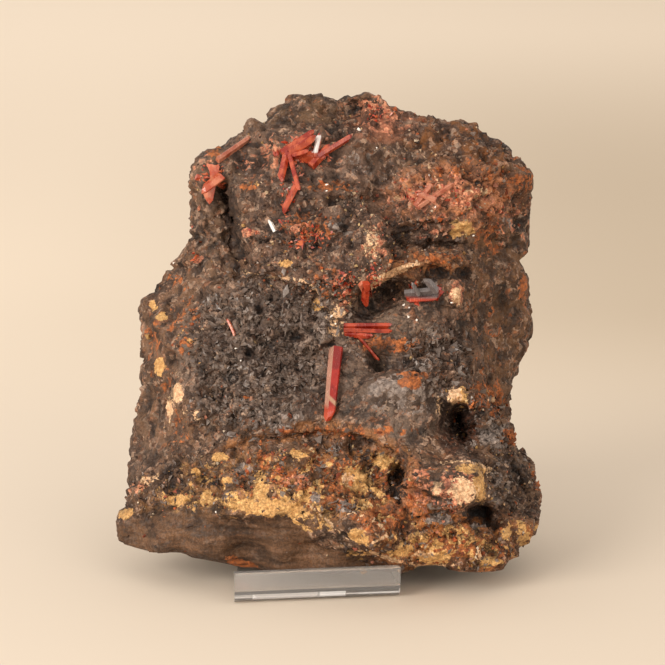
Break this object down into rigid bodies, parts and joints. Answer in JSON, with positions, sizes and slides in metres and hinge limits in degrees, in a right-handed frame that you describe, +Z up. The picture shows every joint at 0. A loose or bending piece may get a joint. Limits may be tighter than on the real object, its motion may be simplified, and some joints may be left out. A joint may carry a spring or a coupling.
{
  "type": "crocoite on matrix",
  "caption": "Rough lump of dark limonite matrix with rust and ochre crusts and red crocoite prisms, leaning on a small clear bent easel.",
  "frame": {"origin": "middle of the whole object's footprint, on the surface that the easel stands on", "axes": "+Z up; +Y away from the viewer, so the crystal-bearing face looks towards -Y; +X to the viewer's right"},
  "size_m": [0.0986, 0.0824, 0.1068],
  "materials": {
    "rock": "rough limonite, dark grey-brown with rust, ochre and salmon crusts",
    "crocoite": "translucent red crystal with an adamantine shine",
    "pale_crystal": "pale shining crystal",
    "acrylic": "clear polished acrylic"
  },
  "bodies": {
    "root": {"matrix": "rock", "main_prism": "crocoite", "prism_bundle": "crocoite", "crown_cluster": "crocoite", "left_shoulder_cluster": "crocoite", "shoulder_prism": "crocoite", "white_prism": "pale_crystal", "ledge_blade": "crocoite", "pocket_crystals": "crocoite", "small_needle": "crocoite", "dome_cluster": "crocoite", "easel_stand": "acrylic"}
  },
  "joints": []
}
